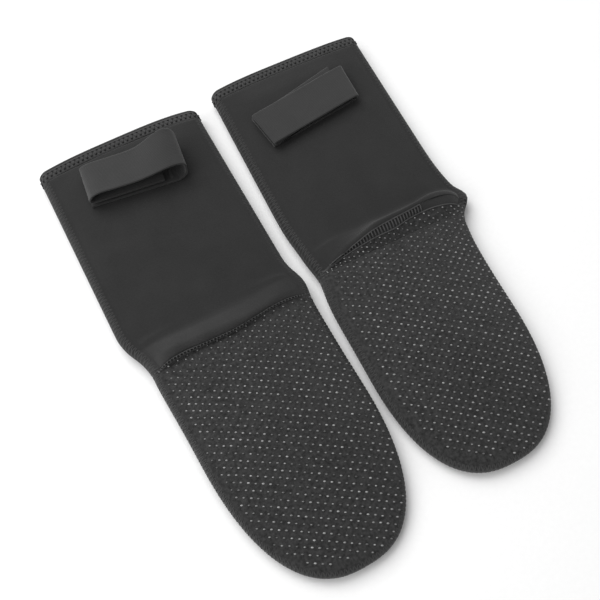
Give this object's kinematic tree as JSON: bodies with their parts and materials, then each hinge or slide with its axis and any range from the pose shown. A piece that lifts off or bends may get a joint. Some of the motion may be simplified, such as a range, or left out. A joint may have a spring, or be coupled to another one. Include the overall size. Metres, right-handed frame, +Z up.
{
  "type": "neoprene water socks",
  "caption": "Flat-lying neoprene water socks with grip-dot soles, folded heels, bound cuffs and fold-over elastic hook-and-loop calf straps.",
  "frame": {"origin": "the point on the surface the socks lie on, under the middle of the pair's bounding box", "axes": "+Z up, out of the calves and soles; +Y towards the cuffs, with the toes at -Y; +X from the left-lying sock to the right-lying one"},
  "size_m": [0.2894, 0.3932, 0.0393],
  "materials": {
    "neoprene": "black jersey-faced neoprene, matt",
    "grip_sole": "black jersey-faced neoprene with raised pale grey grip dots",
    "cuff_binding": "turned neoprene hem with interlocked cover stitching",
    "seam_thread": "black polyester flatlock thread",
    "elastic": "black woven elastic webbing, ribbed",
    "hook_and_loop": "black hook-and-loop tape"
  },
  "bodies": {
    "left_leg": {"left_calf_panel": "neoprene", "left_shin_panel": "neoprene", "left_cuff_hem": "cuff_binding", "left_inner_side_seam": "seam_thread", "left_outer_side_seam": "seam_thread", "left_strap_band": "elastic", "left_hook_tape": "hook_and_loop", "left_free_end_tack": "seam_thread", "left_fold_end_tack": "seam_thread"},
    "left_foot": {"left_heel_fold": "neoprene", "left_heel_seam": "seam_thread", "left_sole_panel": "grip_sole", "left_instep_panel": "neoprene", "left_foot_seam": "seam_thread"},
    "left_flap": {"left_strap_flap": "elastic", "left_loop_tape": "hook_and_loop"},
    "right_leg": {"right_calf_panel": "neoprene", "right_shin_panel": "neoprene", "right_cuff_hem": "cuff_binding", "right_inner_side_seam": "seam_thread", "right_outer_side_seam": "seam_thread", "right_strap_band": "elastic", "right_hook_tape": "hook_and_loop", "right_free_end_tack": "seam_thread", "right_fold_end_tack": "seam_thread"},
    "right_foot": {"right_heel_fold": "neoprene", "right_heel_seam": "seam_thread", "right_sole_panel": "grip_sole", "right_instep_panel": "neoprene", "right_foot_seam": "seam_thread"},
    "right_flap": {"right_strap_flap": "elastic", "right_loop_tape": "hook_and_loop"}
  },
  "joints": [
    {"name": "left_ankle_bend", "type": "hinge", "parent": "left_leg", "child": "left_foot", "pos_m": [-0.07043, 0.00435, 0], "axis": [0.9999, 0.0131, 0], "range_deg": [0, 85]},
    {"name": "left_strap_open", "type": "hinge", "parent": "left_leg", "child": "left_flap", "pos_m": [-0.03876, 0.13921, 0.02905], "axis": [0.1262, 0.992, 0], "range_deg": [0, 150]},
    {"name": "right_sock_apart", "type": "slide", "parent": "left_leg", "child": "right_leg", "axis": [1, 0, 0], "range_m": [0, 0.12]},
    {"name": "right_ankle_bend", "type": "hinge", "parent": "right_leg", "child": "right_foot", "pos_m": [0.07288, 0.01074, 0], "axis": [0.9999, -0.0131, 0], "range_deg": [0, 85]},
    {"name": "right_strap_open", "type": "hinge", "parent": "right_leg", "child": "right_flap", "pos_m": [0.11313, 0.14145, 0.02345], "axis": [-0.1279, 0.9918, 0], "range_deg": [0, 150]}
  ]
}
